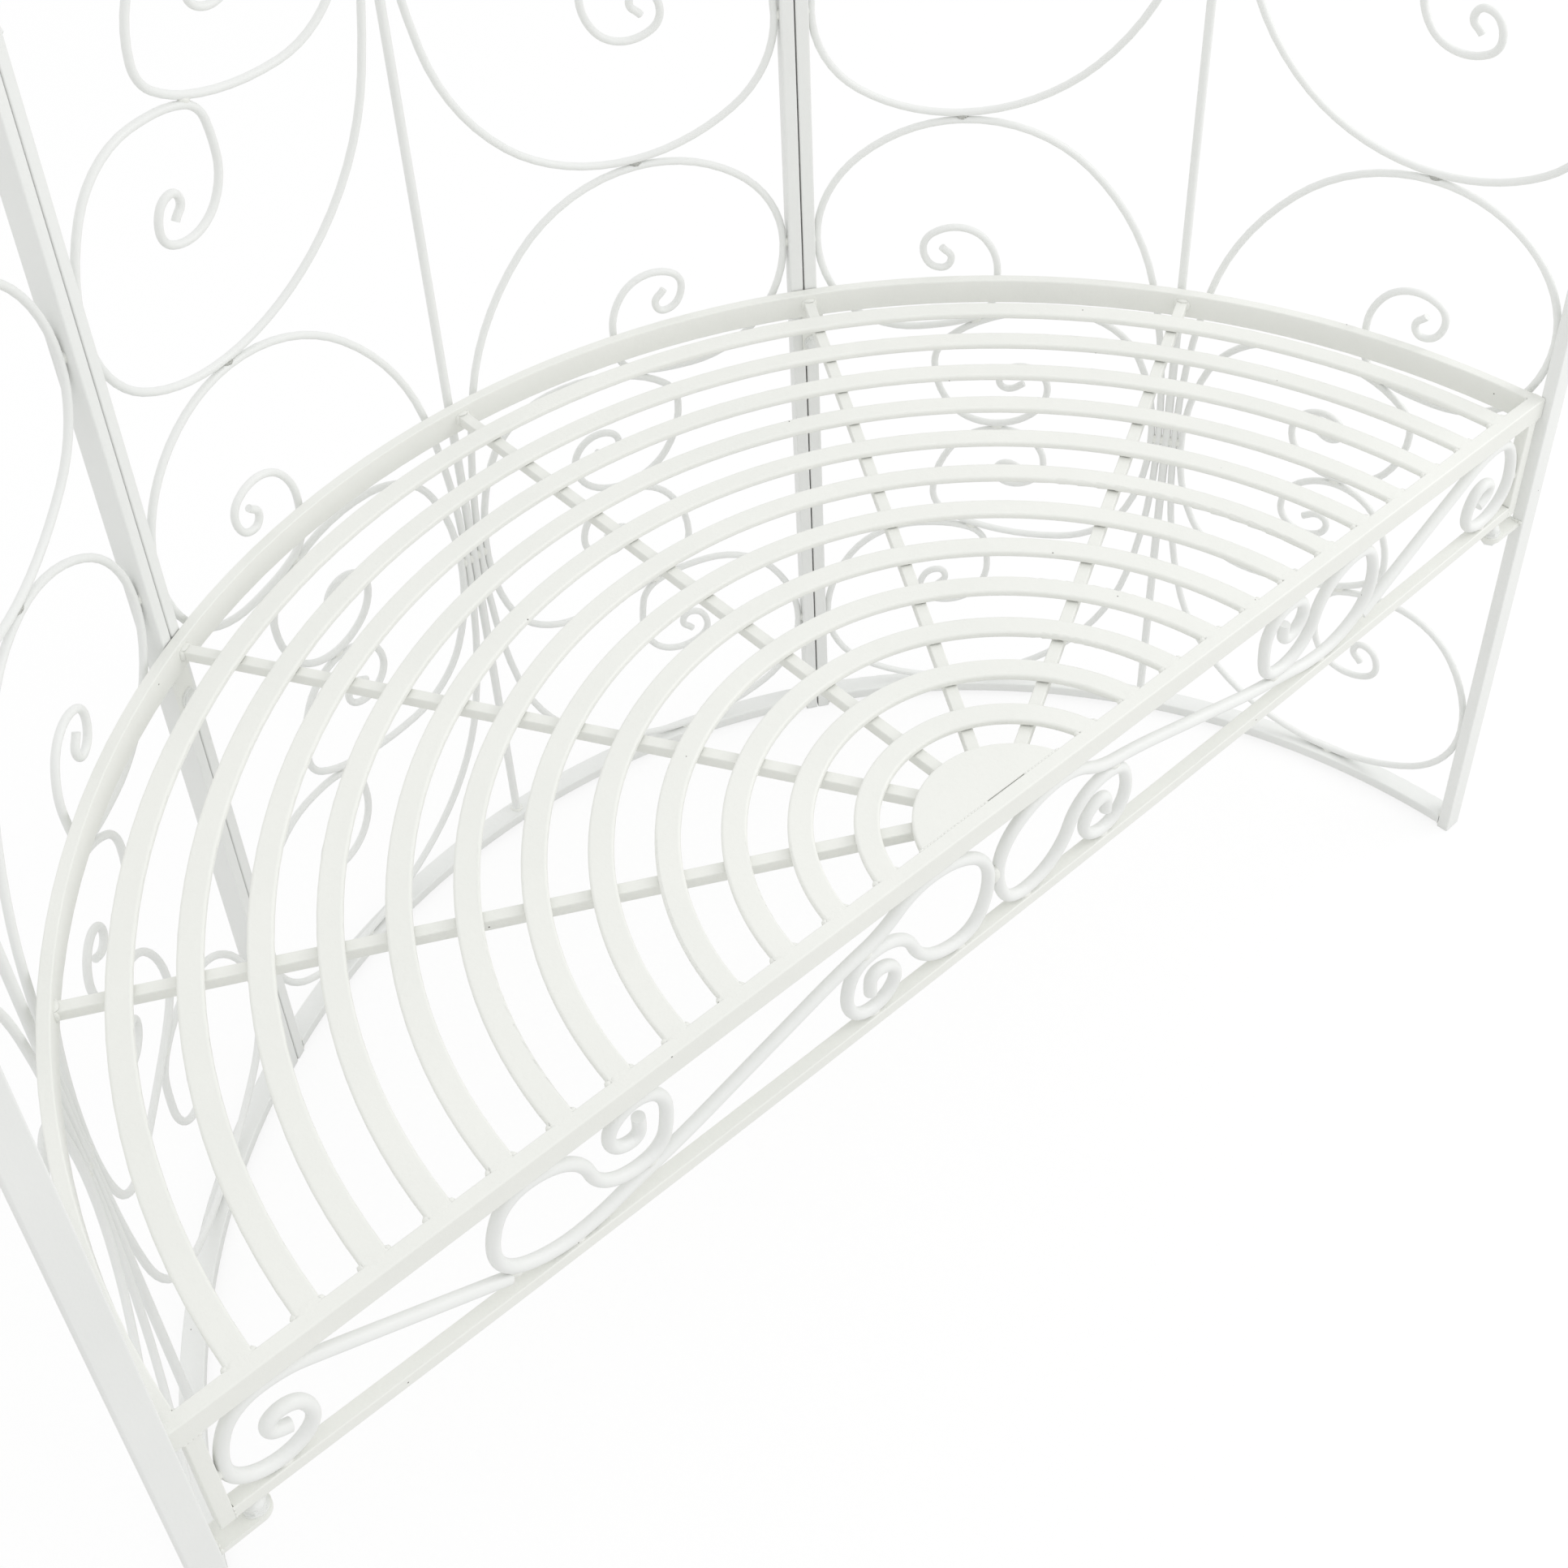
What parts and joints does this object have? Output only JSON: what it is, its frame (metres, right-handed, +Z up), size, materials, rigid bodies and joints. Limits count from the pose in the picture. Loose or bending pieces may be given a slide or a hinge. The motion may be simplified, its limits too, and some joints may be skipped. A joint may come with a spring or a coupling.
{
  "type": "garden gazebo with bench",
  "caption": "Half-round white wrought-iron garden gazebo with scrollwork side panels, a slatted half-round bench with a scroll apron, and arched roof ribs meeting under a finial.",
  "frame": {"origin": "on the ground under the middle of the bounding box, 263.5 mm behind the centre of the half circle that the posts stand on", "axes": "+Z up, +Y from the open front to the middle of the back, +X to the right of a person who looks in from the front"},
  "size_m": [1.134, 0.607, 2.3562],
  "materials": {
    "frame": "satin white brush paint over ground welds",
    "bench": "satin white brush paint over ground welds",
    "scrollwork": "satin white brush paint with weld blobs at each touch",
    "fasteners": "painted over with the frame, satin white"
  },
  "bodies": {
    "root": {"apron_left_end_scroll": "scrollwork", "apron_left_leg": "bench", "apron_left_wave_scroll": "scrollwork", "apron_rail": "bench", "apron_right_end_scroll": "scrollwork", "apron_right_leg": "bench", "apron_right_wave_scroll": "scrollwork", "front_left_tab": "bench", "front_right_tab": "bench", "left_panel_bottom_rail": "frame", "left_panel_centre_rod": "scrollwork", "left_panel_left_post": "frame", "left_panel_left_scrolls": "scrollwork", "left_panel_right_post": "frame", "left_panel_right_scrolls": "scrollwork", "left_panel_top_rail": "frame", "middle_panel_bottom_rail": "frame", "middle_panel_centre_rod": "scrollwork", "middle_panel_left_post": "frame", "middle_panel_left_scrolls": "scrollwork", "middle_panel_right_post": "frame", "middle_panel_right_scrolls": "scrollwork", "middle_panel_top_rail": "frame", "panel_bolts": "fasteners", "panel_cap_nuts": "fasteners", "post_caps": "frame", "rear_left_tab": "bench", "rear_right_tab": "bench", "right_panel_bottom_rail": "frame", "right_panel_centre_rod": "scrollwork", "right_panel_left_post": "frame", "right_panel_left_scrolls": "scrollwork", "right_panel_right_post": "frame", "right_panel_right_scrolls": "scrollwork", "right_panel_top_rail": "frame", "roof_finial": "frame", "roof_hub": "frame", "roof_left_front_rib": "frame", "roof_left_rear_rib": "frame", "roof_right_front_rib": "frame", "roof_right_rear_rib": "frame", "seat_bolts": "fasteners", "seat_cap_nuts": "fasteners", "seat_centre_plate": "bench", "seat_front_bar": "bench", "seat_rim": "bench", "seat_slat_01": "bench", "seat_slat_02": "bench", "seat_slat_03": "bench", "seat_slat_04": "bench", "seat_slat_05": "bench", "seat_slat_06": "bench", "seat_slat_07": "bench", "seat_slat_08": "bench", "seat_slat_09": "bench", "seat_slat_10": "bench", "seat_slat_11": "bench", "seat_slat_12": "bench", "seat_spokes": "bench"}
  },
  "joints": []
}
